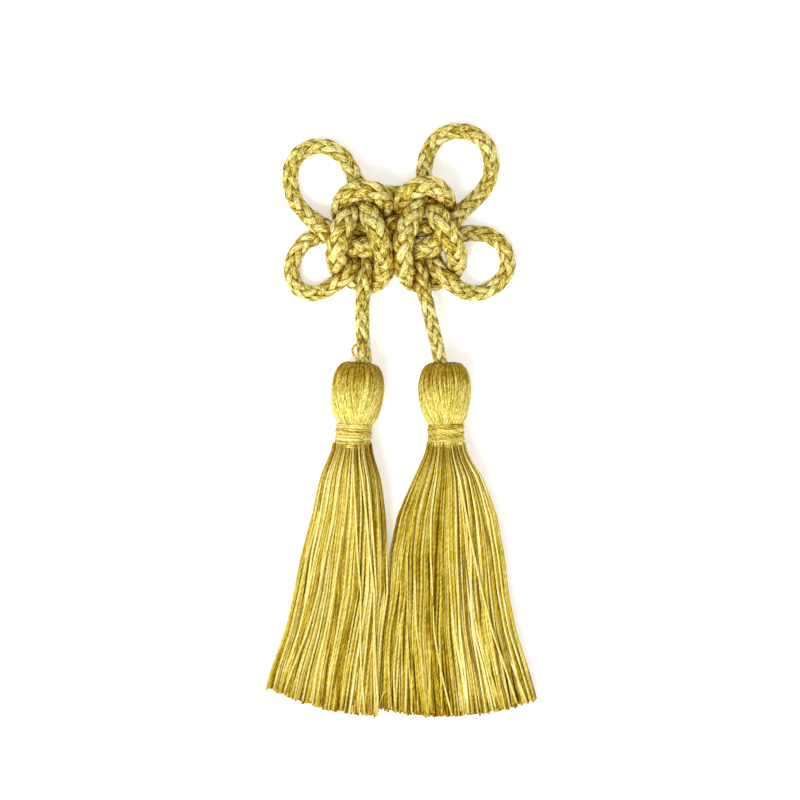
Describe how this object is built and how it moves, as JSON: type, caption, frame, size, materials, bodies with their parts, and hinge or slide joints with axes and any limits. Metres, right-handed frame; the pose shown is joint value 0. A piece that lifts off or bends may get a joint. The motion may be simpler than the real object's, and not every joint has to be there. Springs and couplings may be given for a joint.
{
  "type": "chinese knot tassel",
  "caption": "Knotted plaited silk cord with looped ears and a long thread tassel hanging from each end, laid flat.",
  "frame": {"origin": "middle of the bounding box, on the surface that the piece lies on", "axes": "+Y from the tassels' cut ends to the top of the knot's ears, +Z off the surface towards the viewer, +X to the right of the face"},
  "size_m": [0.0639, 0.143, 0.0139],
  "materials": {
    "plaited_cord": "glossy golden plaited rayon",
    "tassel_thread": "glossy golden twisted thread",
    "binding_thread": "glossy golden thread wound side by side",
    "loop_thread": "glossy golden twisted thread"
  },
  "bodies": {
    "root": {"knot_cord": "plaited_cord", "tassel_left": "tassel_thread", "tassel_right": "tassel_thread", "binding_left": "binding_thread", "binding_right": "binding_thread", "thread_loop": "loop_thread"}
  },
  "joints": []
}
